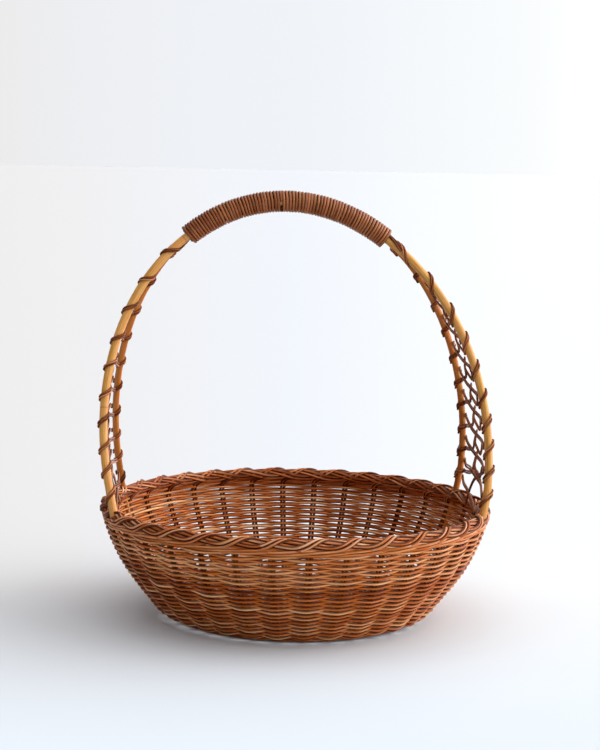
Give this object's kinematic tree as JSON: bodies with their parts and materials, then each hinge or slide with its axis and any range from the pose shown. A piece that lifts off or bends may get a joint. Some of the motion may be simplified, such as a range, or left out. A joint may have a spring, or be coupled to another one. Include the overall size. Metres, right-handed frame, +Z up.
{
  "type": "woven basket",
  "caption": "Round woven cane market basket with a plaited rim and a fixed arched handle of two laced rods bound together at the grip.",
  "frame": {"origin": "on the ground under the middle of the basket", "axes": "+Z up, the handle spans X, the front is towards -Y"},
  "size_m": [0.3955, 0.3925, 0.4264],
  "materials": {
    "weave_cane": "satin natural cane, woven",
    "wale_cane": "satin natural cane, twisted",
    "border_cane": "satin natural cane, plaited",
    "stake_cane": "satin natural cane",
    "base_cane": "satin natural cane, woven",
    "rod_cane_front": "satin honey-coloured cane",
    "rod_cane_back": "satin orange-brown cane",
    "binding_cane": "satin red-brown cane strand",
    "lace_cane": "satin dark brown cane strand",
    "filler_cane": "satin natural cane"
  },
  "bodies": {
    "root": {"base_sticks_lower": "base_cane", "base_sticks_upper": "base_cane", "base_weave_inner": "base_cane", "base_weave_outer": "base_cane", "foot_wale": "wale_cane", "side_stakes": "stake_cane", "bye_stakes": "stake_cane", "side_weave_lower": "weave_cane", "side_weave_middle": "weave_cane", "side_weave_upper": "weave_cane", "top_wale": "wale_cane", "border": "border_cane", "handle_rod_front": "rod_cane_front", "handle_rod_back": "rod_cane_back", "grip_filler_upper": "filler_cane", "grip_filler_lower": "filler_cane", "grip_binding_left": "binding_cane", "grip_binding_middle": "binding_cane", "grip_binding_right": "binding_cane", "lace_turns_front_left": "lace_cane", "lace_turns_back_left": "lace_cane", "lace_turns_front_right": "lace_cane", "lace_turns_back_right": "lace_cane", "lace_rungs_left": "lace_cane", "lace_rungs_right": "lace_cane", "lace_links_left": "lace_cane", "lace_links_right": "lace_cane"}
  },
  "joints": []
}
